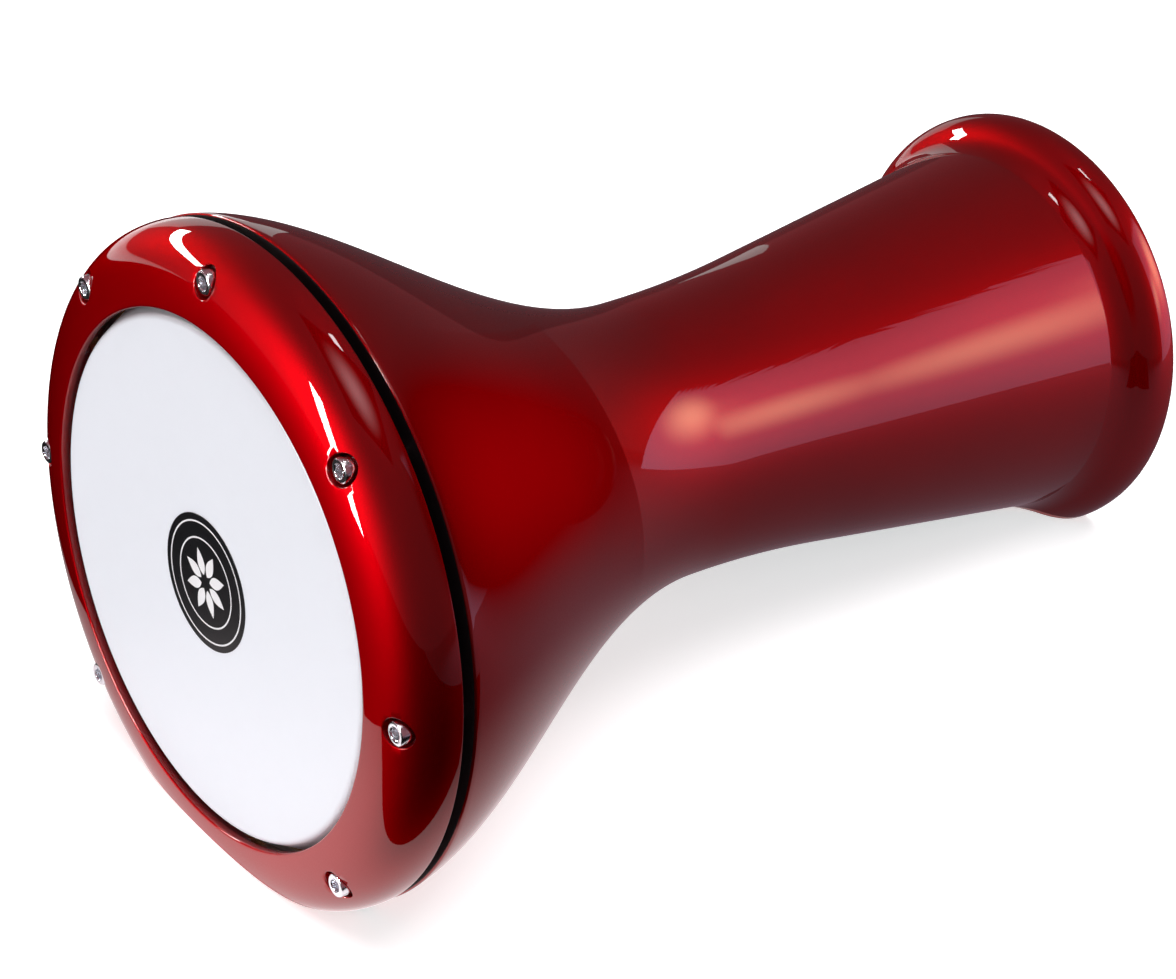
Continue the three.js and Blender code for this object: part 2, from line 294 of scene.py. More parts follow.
def baked(piece, name):
    """The evaluated object as a plain mesh object of that name, with the source removed."""
    bpy.context.view_layer.update()
    graph = bpy.context.evaluated_depsgraph_get()
    mesh = bpy.data.meshes.new_from_object(piece.evaluated_get(graph), depsgraph=graph)
    bpy.data.objects.remove(piece)
    mesh.name = name
    result = bpy.data.objects.new(name, mesh)
    bpy.context.scene.collection.objects.link(result)
    return result


def shaped(piece, tree, name, finish, **sizes):
    """Runs a tree on the piece, its inputs set by identifier, and bakes the result."""
    modifier = piece.modifiers.new("shape", "NODES")
    modifier.node_group = tree
    for item in tree.interface.items_tree:
        key = item.name.replace(" ", "_").lower()
        if item.in_out == "INPUT" and key in sizes:
            modifier[item.identifier] = sizes[key]
        if item.in_out == "INPUT" and item.name == "Finish":
            modifier[item.identifier] = finish
    return baked(piece, name)


def outward(piece):
    """Points the faces of a closed mesh outwards and smooths all but its sharp edges."""
    work = bmesh.new()
    work.from_mesh(piece.data)
    bmesh.ops.remove_doubles(work, verts=work.verts, dist=1e-7)
    bmesh.ops.recalc_face_normals(work, faces=work.faces)
    work.to_mesh(piece.data)
    work.free()
    piece.data.shade_smooth()
    piece.data.set_sharp_from_angle(angle=math.radians(34))
    return piece


def lathe(name, outline, sides, finish):
    """A closed piece turned from an outline of (radius, height) in millimetres."""
    points = [(r, 0.0, z) for r, z in outline]
    edges = [(i, i + 1) for i in range(len(points) - 1)]
    blank = mesh_object(name + "_outline", points, edges, [])
    tree = bpy.data.node_groups.get("turn_on_lathe") or turning_tree()
    return outward(shaped(blank, tree, name, finish, sides=sides, weld=2e-6))


def circled(piece, name, finish, count, radius, start=0.0):
    """Copies of a piece round a circle, as one mesh."""
    tree = bpy.data.node_groups.get("copies_round_circle") or circle_tree()
    return outward(shaped(piece, tree, name, finish, count=count, radius=radius * MM, start=start))


def carved(piece, cutter, name):
    """The piece with the cutter taken out of it."""
    modifier = piece.modifiers.new("carve", "BOOLEAN")
    modifier.operation = "DIFFERENCE"
    modifier.solver = "EXACT"
    modifier.object = cutter
    result = baked(piece, name)
    bpy.data.objects.remove(cutter)
    return outward(result)


def polar(name, rows, sides):
    """A closed mesh from rows of (radius, height), each a number or a list with one per side."""
    points = []
    for radius, height in rows:
        radii = radius if hasattr(radius, "__len__") else [radius] * sides
        heights = height if hasattr(height, "__len__") else [height] * sides
        for side in range(sides):
            angle = 2 * math.pi * side / sides
            points.append((radii[side] * math.cos(angle), radii[side] * math.sin(angle), heights[side]))
    faces = []
    for row in range(len(rows) - 1):
        for side in range(sides):
            a, b = row * sides + side, row * sides + (side + 1) % sides
            faces.append((a, b, b + sides, a + sides))
    faces.append(tuple(range(sides)))
    faces.append(tuple((len(rows) - 1) * sides + side for side in range(sides)))
    return mesh_object(name, points, [], faces)


def curve(corners, steps):
    """Points on a Bezier curve of any order, without its first point."""
    corners = [np.array(c, float) for c in corners]
    order = len(corners) - 1
    points = []
    for step in range(1, steps + 1):
        t = step / steps
        place = sum(math.comb(order, k) * t ** k * (1 - t) ** (order - k) * corners[k]
                    for k in range(order + 1))
        points.append((float(place[0]), float(place[1])))
    return points


def arc(centre, radius, start, end, steps):
    """Points on an arc between two angles."""
    angles = [start + (end - start) * step / steps for step in range(steps + 1)]
    return [(centre[0] + radius * math.cos(a), centre[1] + radius * math.sin(a)) for a in angles]


def held(outline, longest=7.0, hold=0.3):
    """The outline with points close to the ends of each long straight, so its faces shade flat."""
    points = [outline[0]]
    for start, end in zip(outline, outline[1:]):
        a, b = np.array(start, float), np.array(end, float)
        length = float(np.linalg.norm(b - a))
        if length > 2.5:
            inner = max(1, math.ceil((length - 2 * hold) / longest))
            for k in range(inner + 1):
                distance = hold + (length - 2 * hold) * k / inner
                points.append(tuple(a + (b - a) * distance / length))
        points.append(tuple(b))
    return points


def offset(points, distance):
    """An open line moved sideways, to the left of its run."""
    line = np.array(points, float)
    along = np.gradient(line, axis=0)
    along /= np.linalg.norm(along, axis=1)[:, None]
    side = np.stack([-along[:, 1], along[:, 0]], axis=1)
    return [tuple(p) for p in line + side * distance]


def ride(piece, body, slot, *nodes):
    """The finished piece stands for those CAD nodes and moves with the body."""
    if nodes:
        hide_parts(*nodes)
    if body:
        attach(piece, body)
    return piece


# ---- Finishes ----

def blank_material(name):
    """A new material and its empty node tree."""
    material = bpy.data.materials.new(name)
    material.use_nodes = True
    material.node_tree.nodes.clear()
    return material, material.node_tree


def surface(name, **inputs):
    """A material with one Principled shader, its constants set on the shader's own sockets."""
    material = bpy.data.materials.get(name)
    if material:
        return material, None, None
    material, tree = blank_material(name)
    shader = add(tree, "ShaderNodeBsdfPrincipled",
                 {key.replace("_", " "): value for key, value in inputs.items()})
    add(tree, "ShaderNodeOutputMaterial", {"Surface": shader})
    return material, tree, shader


def object_place(tree):
    """Object coordinates, in metres."""
    return add(tree, "ShaderNodeTexCoord").outputs["Object"]


def per_mm(size):
    """Texture scale whose pattern repeats every so many millimetres."""
    return 1.0 / (size * MM)


def noise(tree, place, size, detail):
    """Noise with waves of that length in millimetres."""
    return add(tree, "ShaderNodeTexNoise", {"Vector": place, "Scale": per_mm(size), "Detail": detail})


def spread(tree, value, low, high, end=1.0, **settings):
    """A value that runs from 0 to the end, set between low and high."""
    return add(tree, "ShaderNodeMapRange", {"Value": value, "From Min": 0.0, "From Max": end,
                                            "To Min": low, "To Max": high}, **settings)


def candy_lacquer():
    """Candy lacquer: red tinted clear over silver flake base, under a polished clear coat.
    It gives a deep metallic red that goes from bright to near black, with sharp clear reflections."""
    look = bpy.context.scene.goblet_finish
    material, tree, shader = surface("candy_lacquer_over_silver_flake", Metallic=1.0,
                                     Specular_Tint=linear("#8a1c22"), Coat_Weight=1.0,
                                     Coat_Roughness=0.02, Coat_IOR=1.5)
    if tree is None:
        return material
    place = object_place(tree)
    # The tinted coat is sprayed by hand, so it lies thicker in clouds some 60 mm across.
    clouds = noise(tree, place, 60, 3.0)
    tint = add(tree, "ShaderNodeMixRGB",
               {0: clouds, 1: linear(look.lacquer), 2: linear(look.lacquer_deep)})
    # Flake is 0.05 mm across; it is drawn at 0.5 mm so that it shows.
    flakes = add(tree, "ShaderNodeTexVoronoi", {"Vector": place, "Scale": per_mm(0.5)})
    glint = spread(tree, flakes.outputs["Distance"], 0.46, 0.54, end=0.7)
    grain = add(tree, "ShaderNodeBump", {"Height": flakes.outputs["Distance"], "Strength": 0.05,
                                         "Distance": 0.1 * MM})
    # Orange peel of sprayed clear coat, waves about 7 mm long.
    peel = noise(tree, place, 7, 2.0)
    ripple = add(tree, "ShaderNodeBump", {"Height": peel, "Strength": 0.3, "Distance": 0.02 * MM})
    wire(tree, shader, Base_Color=tint, Roughness=glint, Normal=grain, Coat_Normal=ripple)
    return material


def grained(name, text, size, roughness, height, metallic=0.0, cloudy=0.1, **inputs):
    """A finish with a fine grain of that size in millimetres, in its roughness and bump.
    Its colour drifts by the cloudy share over wider patches."""
    material, tree, shader = surface(name, Metallic=metallic, **inputs)
    if tree is None:
        return material
    place = object_place(tree)
    grain = noise(tree, place, size, 4.0)
    clouds = noise(tree, place, size * 14, 2.0)
    shade = spread(tree, clouds, 1 - cloudy, 1 + cloudy / 2)
    tint = add(tree, "ShaderNodeVectorMath", {0: linear(text)[:3], "Scale": shade}, operation="SCALE")
    rough = spread(tree, grain, roughness * 0.8, min(1.0, roughness * 1.2))
    bump = add(tree, "ShaderNodeBump", {"Height": grain, "Strength": 0.5, "Distance": height * MM})
    wire(tree, shader, Base_Color=tint, Roughness=rough, Normal=bump)
    return material


def finishes():
    """Every other finish of the drum, by slot name."""
    look = bpy.context.scene.goblet_finish
    return {
        # Satin black primer, sprayed: a soft dark sheen with no clear reflection; on the rim face and
        # collar it is painted shade for the gap under the ring.
        "primer_and_gap_shade": grained("satin_black_primer", look.primer_and_gap_shade, 0.8, 0.5, 0.01),
        # Sand-cast aluminium, left raw: grey, rough and dull.
        "casting": grained("sand_cast_aluminium", look.casting, 1.6, 0.62, 0.12, metallic=1.0),
        # Polyester film with a fine matt tooth: nearly white, with a faint soft gloss.
        "film": grained("matt_polyester_film", look.film, 0.9, 0.42, 0.004, cloudy=0.012, IOR=1.58),
        # Printed vinyl: dense black with a faint gloss.
        "vinyl": grained("gloss_vinyl_label", look.vinyl, 1.2, 0.3, 0.003, IOR=1.52),
        # Screen ink on vinyl: flat white.
        "ink": grained("screen_ink", look.ink, 1.2, 0.45, 0.003),
        # Bright zinc plate on steel: cool silver, slightly cloudy.
        "zinc": grained("bright_zinc_plate", look.zinc, 0.7, 0.2, 0.004, metallic=1.0),
        # Mill-finish aluminium extrusion: light grey with a dull shine.
        "aluminium": grained("mill_finish_aluminium", look.aluminium, 0.6, 0.35, 0.004, metallic=1.0),
        # Cast epoxy: amber, glossy.
        "resin": grained("amber_epoxy", look.resin, 3.0, 0.2, 0.02, IOR=1.55),
        # Turned brass: warm yellow, fine tool marks.
        "brass": grained("turned_brass", look.brass, 0.4, 0.25, 0.004, metallic=1.0),
    }


# ---- Shell ----

def shell_outside(size):
    """Outside of the shell from the foot up to the rim, as (radius, height)."""
    foot, tube, rim = size.foot_radius, size.tube_radius, size.flange_top
    shoulder = (tube + 6.4, 17.0)
    points = [(foot - 0.9, 0.0)]
    points += curve([points[-1], (foot, 0.6), (foot, FOOT_EDGE_HEIGHT)], 8)
    points += curve([points[-1], (foot, (FOOT_EDGE_HEIGHT + shoulder[1]) / 2),
                     (shoulder[0] + 3.84, shoulder[1] - 2.56), shoulder], 18)
    points += curve([shoulder, (shoulder[0] - 4.16, shoulder[1] + 2.88), (tube, size.foot_height)], 14)
    centre = (size.throat_radius + size.neck_blend, size.throat_height)
    dx, dz = centre[0] - tube, centre[1] - size.foot_height
    lean = math.atan2(dz, dx) - math.acos(size.neck_blend / math.hypot(dx, dz))
    neck = arc(centre, size.neck_blend, math.pi + lean, math.pi, 18)
    points = held(points + [neck[0]], longest=6.0)
    points += neck[1:]
    tilt = math.radians(8)
    points += curve([neck[-1], (size.throat_radius, size.throat_height + size.flare_length),
                     (SHELL_HIGH.x - size.shoulder_length * math.sin(tilt),
                      rim - 1.0 - size.shoulder_length * math.cos(tilt)),
                     (SHELL_HIGH.x, rim - 1.0)], 64)
    return points + curve([points[-1], (SHELL_HIGH.x, rim), (SHELL_HIGH.x - 1.0, rim)], 6)


class GOBLETDRUM_OT_shell(bpy.types.Operator):
    """Turns the cast shell, with its flange, collar and threaded holes"""
    bl_idname = "gobletdrum.shell"
    bl_label = "Shell"

    def execute(self, context):
        size = context.scene.goblet_shell
        bolt = context.scene.goblet_bolt
        outside = shell_outside(size)
        underside = size.flange_top - size.flange_thickness
        walls = [p for p in outside if p[1] >= size.foot_height]
        inside = [p for p in offset(walls, size.wall) if p[1] < underside - 10]
        bore = size.collar_radius - size.collar_wall
        top = SHELL_HIGH.z
        collar = [(size.collar_radius, size.flange_top)]
        collar += arc((size.collar_radius - BEARING_ROUND, top - BEARING_ROUND), BEARING_ROUND,
                      0, math.pi / 2, 8)
        collar += [(bore + BEARING_BEVEL, top), (bore, top - BEARING_BEVEL), (bore, underside + 1)]
        collar += curve([collar[-1], (bore, underside), (bore + 1, underside)], 4)
        turn_in = (inside[-1][0] - 5, underside)
        collar += [turn_in]
        fillet = curve([turn_in, (inside[-1][0] + 1.2, underside - 0.2), inside[-1]], 10)
        foot_inside = [(size.foot_radius - 9.9, 0.0), outside[0]]
        outline = outside + held([outside[-1]] + collar)[1:] + fillet + inside[::-1][1:]
        outline += held([outline[-1]] + foot_inside)[1:]
        blank = lathe("shell_blank", outline, size.sides, candy_lacquer())
        tip = BOLT_LOW.z - 5
        seat, wide = INSERT_LOW.z - 0.3, 4.8
        rows = [(0.01, tip), (BOLT_BORE, tip), (BOLT_BORE, seat), (wide, seat),
                (wide, size.flange_top + 1), (0.01, size.flange_top + 1)]
        drill = circled(polar("drill", rows, 32), "drills", None, BOLT_COUNT, bolt.circle)
        shell = carved(blank, drill, "shell_casting")
        self.finish_faces(shell, outside, size, bore)
        ride(shell, "drum_shell", "candy_lacquer", "shell")
        return {"FINISHED"}

    def finish_faces(self, shell, outside, size, bore):
        """Lacquer outside, black primer on the rim face and collar as painted shade in the gap under
        the ring, raw casting inside.
        """
        look = finishes()
        shell.data.materials.clear()
        for material in (candy_lacquer(), look["primer_and_gap_shade"], look["casting"]):
            shell.data.materials.append(material)
        heights = [p[1] for p in outside]
        radii = [p[0] for p in outside]
        skin, gap_shade_depth = size.wall * 0.55, 14
        for face in shell.data.polygons:
            radius = math.hypot(face.center.x, face.center.y) / MM
            height = face.center.z / MM
            hidden = radius < np.interp(height, heights, radii) - skin and height > 0.2
            # The rim face and the collar, seen through the gap under the ring, get black primer:
            # painted shade.
            rim_face = height > size.flange_top - 0.3 and radius < SHELL_HIGH.x - 0.8
            gap_shaded = hidden and height > size.flange_top - gap_shade_depth and radius > bore + 0.5
            if rim_face or gap_shaded:
                face.material_index = 1
            else:
                face.material_index = 2 if hidden else 0


# ---- Tuning ring ----

def ring_crown(size):
    """The ring's rounded face, from its outer foot to the lip, as (radius, height)."""
    width, height = size.radius - size.opening, size.top - size.underside
    start = (size.radius, size.underside + RING_FOOT_EDGE)
    bends = [(size.radius, size.top - height * 0.25), (size.opening + width * 0.57, size.top - 1)]
    return [start] + curve([start] + bends + [(size.opening + 1, size.top)], 72)


class GOBLETDRUM_OT_ring(bpy.types.Operator):
    """Turns the tuning ring and carves its bolt pockets"""
    bl_idname = "gobletdrum.ring"
    bl_label = "Tuning Ring"

    def execute(self, context):
        size = context.scene.goblet_ring
        bolt = context.scene.goblet_bolt
        crown = ring_crown(size)
        lip = curve([crown[-1], (size.opening, size.top), (size.opening, size.top - 1)], 6)
        inner = [lip[-1], (size.opening, size.top - LIP_DEPTH),
                 (FILM_HIGH.x + HOOP_TO_FILM, HOOP_HIGH.z), (size.rebate, HOOP_HIGH.z),
                 (size.rebate, size.underside), (size.radius - RING_FOOT_EDGE, size.underside)]
        foot = curve([inner[-1], (size.radius, size.underside), crown[0]], 5)
        outline = crown + lip + held(inner, longest=5.0)[1:] + foot
        blank = lathe("ring_blank", outline, size.sides, candy_lacquer())
        cutter = circled(self.pocket(size, bolt, crown), "pockets", None, BOLT_COUNT, bolt.circle)
        ring = carved(blank, cutter, "tuning_ring_casting")
        ring.data.materials.clear()
        ring.data.materials.append(candy_lacquer())
        ride(ring, "tension_ring", "candy_lacquer", "tuning_ring")
        return {"FINISHED"}

    def pocket(self, size, bolt, crown):
        """Cutter for one pocket; its upper edge follows the crown, dressed back a little."""
        sides, edge, floor = 64, size.broken_edge, WASHER_LOW.z
        radii = [p[0] for p in crown][::-1]
        heights = [p[1] for p in crown][::-1]

        def over_crown(reach, rise):
            places = []
            for side in range(sides):
                angle = 2 * math.pi * side / sides
                radius = math.hypot(bolt.circle + reach * math.cos(angle), reach * math.sin(angle))
                places.append(float(np.interp(radius, radii, heights)) + rise)
            return places

        wide = size.pocket_radius
        rows = [(0.01, size.underside - 1), (BOLT_BORE, size.underside - 1), (BOLT_BORE, floor),
                (wide - 0.4, floor), (wide - 0.12, floor + 0.12), (wide, floor + 0.4),
                (wide, over_crown(wide + edge, -edge * 1.1)),
                (wide + edge * 0.12, over_crown(wide + edge, -edge * 0.62)),
                (wide + edge * 0.4, over_crown(wide + edge, -edge * 0.25)),
                (wide + edge, over_crown(wide + edge, 0.03)),
                (wide + edge * 2.2, over_crown(wide + edge * 2.2, edge * 0.5)),
                (wide + edge * 2.2, size.top + 6), (0.01, size.top + 6)]
        return polar("pocket", rows, sides)


# ---- Head ----

class GOBLETDRUM_OT_head(bpy.types.Operator):
    """Makes the film, its hoop and resin, and the label with its ornament"""
    bl_idname = "gobletdrum.head"
    bl_label = "Head"

    def execute(self, context):
        shell = context.scene.goblet_shell
        look = finishes()
        self.film(shell, look["film"])
        inner = HOOP_HIGH.x - HOOP_WIDTH
        wall, wall_top = inner + HOOP_WALL, HOOP_HIGH.z - HOOP_INNER_DROP
        hoop = [(inner, HOOP_LOW.z), (HOOP_HIGH.x, HOOP_LOW.z), (HOOP_HIGH.x, HOOP_HIGH.z),
                (RESIN_HIGH.x, HOOP_HIGH.z), (RESIN_HIGH.x, RESIN_LOW.z), (wall, RESIN_LOW.z),
                (wall, wall_top), (inner, wall_top), (inner, HOOP_LOW.z)]
        channel = lathe("head_hoop_channel", held(hoop, hold=0.15), 192, look["aluminium"])
        ride(channel, "tension_ring", "bare_aluminium", "head_hoop")
        slot_in, slot_out, floor = FILM_HIGH.x - SLOT_INNER, FILM_HIGH.x + SLOT_OUTER, RESIN_LOW.z + 1
        pot = [(wall, RESIN_LOW.z), (RESIN_HIGH.x, RESIN_LOW.z), (RESIN_HIGH.x, RESIN_HIGH.z),
               (slot_out, RESIN_HIGH.z), (slot_out, floor), (slot_in, floor),
               (slot_in, RESIN_HIGH.z), (wall, RESIN_HIGH.z), (wall, RESIN_LOW.z)]
        resin = lathe("hoop_resin_fill", held(pot, hold=0.1), 192, look["resin"])
        ride(resin, "tension_ring", "hoop_resin", "hoop_resin")
        self.label(look)
        return {"FINISHED"}

    def film(self, shell, finish):
        """Film: flat, round over the bearing edge, then down its skirt into the hoop."""
        top = FILM_HIGH.z
        centre = np.array([shell.collar_radius - BEARING_ROUND, SHELL_HIGH.z - BEARING_ROUND])
        bend_radius = BEARING_ROUND + FILM_GAP + FILM_THICKNESS
        bend = np.array([FILM_HIGH.x, top - FILM_BEND_DEPTH])
        reach = bend - centre
        lean = math.atan2(reach[1], reach[0]) + math.acos(bend_radius / float(np.linalg.norm(reach)))
        round_over = arc(tuple(centre), bend_radius, math.pi / 2, lean, 12)
        face = [(0.0, top), (4.0, top)] + held([(8.0, top), round_over[0]], longest=8.0)
        face += held([round_over[0]] + round_over[1:] + [tuple(bend)], longest=1.2)[1:]
        face += held([tuple(bend), (FILM_HIGH.x, FILM_LOW.z)], longest=1.2)[1:]
        back = offset(face, -FILM_THICKNESS)
        back[0] = (0.0, back[0][1])
        film = lathe("head_film_skin", back + face[::-1], 240, finish)
        ride(film, None, "head_film", "head_film")
        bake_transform(film)

    def label(self, look):
        """Round label with a plain ornament: petals inside two thin rings."""
        radius, low, high = LABEL_HIGH.x, LABEL_LOW.z, LABEL_HIGH.z
        disc = [(0.0, low), (radius - 0.05, low), (radius, low + 0.05), (radius, high - 0.06),
                (radius - 0.06, high), (0.0, high)]
        disc = lathe("head_label_disc", held(disc, longest=3.0, hold=0.5), 160, look["vinyl"])
        ride(disc, "drum_shell", "label_vinyl", "head_label")
        top = high + 0.03
        root, length, half_width = 3.2, 11.3, 2.5
        half = [(root + length * t, half_width * math.sin(math.pi * t ** 0.8))
                for t in np.linspace(0, 1, 15)]
        rim = half + [(x, -y) for x, y in half[-2:0:-1]]
        points = [(x, y, z) for z in (high, top) for x, y in rim]
        count = len(rim)
        faces = [tuple(range(count)), tuple(range(count, 2 * count))]
        faces += [(i, (i + 1) % count, (i + 1) % count + count, i + count) for i in range(count)]
        petal = mesh_object("petal", points, [], faces)
        petals = circled(petal, "label_petals", look["ink"], 8, 0.0, math.pi / 8)
        ride(petals, "drum_shell", "label_vinyl")
        for number, line in enumerate((18.2, 25.0)):
            edge = line + 0.7
            ring = [(line, high), (edge, high), (edge, top), (line, top), (line, high)]
            ride(lathe(f"label_ring_{number + 1}", ring, 160, look["ink"]), "drum_shell", "label_vinyl")


# ---- Bolts ----

class GOBLETDRUM_OT_bolts(bpy.types.Operator):
    """Makes the socket-head bolts, one for each place on the bolt circle"""
    bl_idname = "gobletdrum.bolts"
    bl_label = "Tuning Bolts"

    def execute(self, context):
        size = context.scene.goblet_bolt
        finish = finishes()["zinc"]
        tree = seat_tree()
        for number in range(BOLT_COUNT):
            piece = shaped(self.bolt(size), tree, f"socket_bolt_{number + 1}", finish, number=number,
                           count=BOLT_COUNT, radius=size.circle * MM, key_turn=number * 0.37)
            outward(piece)
            ride(piece, f"screw_{number + 1}", "zinc_steel", f"bolt_{number + 1}")
        return {"FINISHED"}

    def bolt(self, size):
        """One bolt on the axis: hexagon socket, knurled head and turned thread."""
        sides = size.knurls * 2
        top, seat, tip = BOLT_HIGH.z, BOLT_HIGH.z - size.head_height, BOLT_LOW.z
        angles = [2 * math.pi * side / sides for side in range(sides)]
        hexagon = [size.socket / 2 / math.cos((a + math.pi / 6) % (math.pi / 3) - math.pi / 6)
                   for a in angles]
        mouth = [max(h, size.socket / 2 * 1.11) + 0.12 for h in hexagon]
        ridges = [size.head_radius - (0.16 if side % 2 else 0.0) for side in range(sides)]
        floor = top - size.socket_depth
        head = size.head_radius
        rows = [(0.01, floor - 0.9), ([h * 0.45 for h in hexagon], floor - 0.35),
                ([h * 0.92 for h in hexagon], floor), (hexagon, floor + 0.1), (hexagon, top - 0.45),
                (mouth, top - 0.06), ([m + 0.1 for m in mouth], top), (head - 0.95, top),
                (head - 0.75, top - 0.03), (head - 0.3, top - 0.3), (head - 0.18, top - 0.62),
                (ridges, top - 0.95), (ridges, seat + 0.9), (head - 0.2, seat + 0.55),
                (head - 0.22, seat + 0.1), (head - 0.34, seat), (size.radius + 0.1, seat),
                (size.radius - 0.3, seat - 0.15), (size.radius - 0.3, seat - 1.2)]
        thread_top = seat - 1.4
        steps = int((thread_top - tip - 0.9) / (size.pitch / 5))
        for step in range(steps + 1):
            height = thread_top - step * size.pitch / 5
            turn = [(height / size.pitch - a / (2 * math.pi)) % 1 for a in angles]
            crest = [size.radius - 0.55 * min(1.0, max(0.0, abs(2 * t - 1) * 1.3 - 0.12)) for t in turn]
            rows.append((crest, height))
        rows += [(size.radius - 0.7, tip + 0.4), (size.radius - 1.0, tip), (0.01, tip)]
        return polar("bolt_blank", rows, sides)


class GOBLETDRUM_OT_fittings(bpy.types.Operator):
    """Makes the washers under the bolt heads and the threaded inserts in the flange"""
    bl_idname = "gobletdrum.fittings"
    bl_label = "Washers and Inserts"

    def execute(self, context):
        size = context.scene.goblet_bolt
        look = finishes()
        numbers = range(1, BOLT_COUNT + 1)
        outer = (WASHER_HIGH.y - WASHER_LOW.y) / 2
        low, high = WASHER_LOW.z, WASHER_HIGH.z
        outline = [(BOLT_BORE, low), (outer - 0.1, low), (outer, low + 0.1), (outer, high - 0.25),
                   (outer - 0.08, high - 0.08), (outer - 0.25, high), (BOLT_BORE, high),
                   (BOLT_BORE, low)]
        washer = lathe("washer_blank", held(outline, hold=0.1), 48, look["zinc"])
        washers = circled(washer, "washers", look["zinc"], BOLT_COUNT, size.circle)
        ride(washers, "tension_ring", "zinc_steel", *[f"washer_{n}" for n in numbers])
        outer = (INSERT_HIGH.y - INSERT_LOW.y) / 2
        low, high = INSERT_LOW.z, INSERT_HIGH.z
        outline = [(BOLT_BORE, low), (outer - 0.3, low), (outer, low + 0.3)]
        for groove in range(1, 8):
            middle = low + (high - low) * groove / 8
            outline += [(outer, middle - 0.4), (outer - 0.25, middle), (outer, middle + 0.4)]
        outline += [(outer, high - 0.2), (outer - 0.2, high), (BOLT_BORE + 0.3, high),
                    (BOLT_BORE, high - 0.3), (BOLT_BORE, low)]
        insert = lathe("insert_blank", held(outline, hold=0.1), 48, look["brass"])
        inserts = circled(insert, "threaded_inserts", look["brass"], BOLT_COUNT, size.circle)
        ride(inserts, "drum_shell", "insert_brass", *[f"insert_{n}" for n in numbers])
        return {"FINISHED"}


# ---- Stage ----

def light(ground, name, place, aim, width, depth, radiance, tint="#ffffff", sheen=True, fill=True):
    """A soft box over the floor; place and aim are right, away and up, in metres.
    Its sheen is what reflections show, and its fill is what it lights."""
    lamp = bpy.data.lights.new(name, "AREA")
    lamp.shape = "RECTANGLE"
    lamp.size = width
    lamp.size_y = depth
    lamp.energy = radiance * math.pi * width * depth
    lamp.color = linear(tint)[:3]
    fitting = bpy.data.objects.new(name, lamp)
    spot, target = Vector(place), Vector(aim)
    turn = (spot - target).to_track_quat("Z", "Y").to_matrix().to_4x4()
    turn.translation = spot
    fitting.matrix_world = ground @ turn
    fitting.visible_camera = False
    fitting.visible_glossy = sheen
    fitting.visible_diffuse = fill
    bpy.context.scene.collection.objects.link(fitting)


def card(ground, name, corners, tint, glow, lit_places=(), soft=False):
    """A card that only reflections see; corners and places are right, away and up, in metres.
    A lit place adds its own colour, as where a lamp shines on the card, and fades over its reach.
    A soft card is a gauze that thins out away from its lit places."""
    material, tree = blank_material(name + "_face")
    face = add(tree, "ShaderNodeEmission", {"Color": linear(tint), "Strength": glow})
    cover = 0.0
    for place, reach, strength, shine_tint in lit_places:
        spot = ground @ Vector(place)
        far = add(tree, "ShaderNodeVectorMath", {0: object_place(tree), 1: spot}, operation="DISTANCE")
        near = spread(tree, far.outputs["Value"], 1.0, 0.0, reach, interpolation_type="SMOOTHSTEP")
        shine = calc(tree, "MULTIPLY", near, strength)
        lit = add(tree, "ShaderNodeEmission", {"Color": linear(shine_tint), "Strength": shine})
        face = add(tree, "ShaderNodeAddShader", {0: face, 1: lit})
        cover = calc(tree, "MULTIPLY_ADD", near, 2.0, cover, use_clamp=True)
    if soft:
        clear = add(tree, "ShaderNodeBsdfTransparent")
        face = add(tree, "ShaderNodeMixShader", {0: cover, 1: clear, 2: face})
    add(tree, "ShaderNodeOutputMaterial", {"Surface": face})
    sheet = mesh_object(name, [[c / MM for c in corner] for corner in corners], [],
                        [tuple(range(len(corners)))])
    sheet.data.transform(ground)
    sheet.data.materials.append(material)
    sheet.visible_camera = sheet.visible_diffuse = sheet.visible_shadow = False


def toward(origin, azimuth, elevation, distance):
    """A place seen from the origin, clockwise from straight away, in degrees and metres."""
    a, e = math.radians(azimuth), math.radians(elevation)
    return (origin[0] + distance * math.sin(a) * math.cos(e),
            origin[1] + distance * math.cos(a) * math.cos(e), origin[2] + distance * math.sin(e))


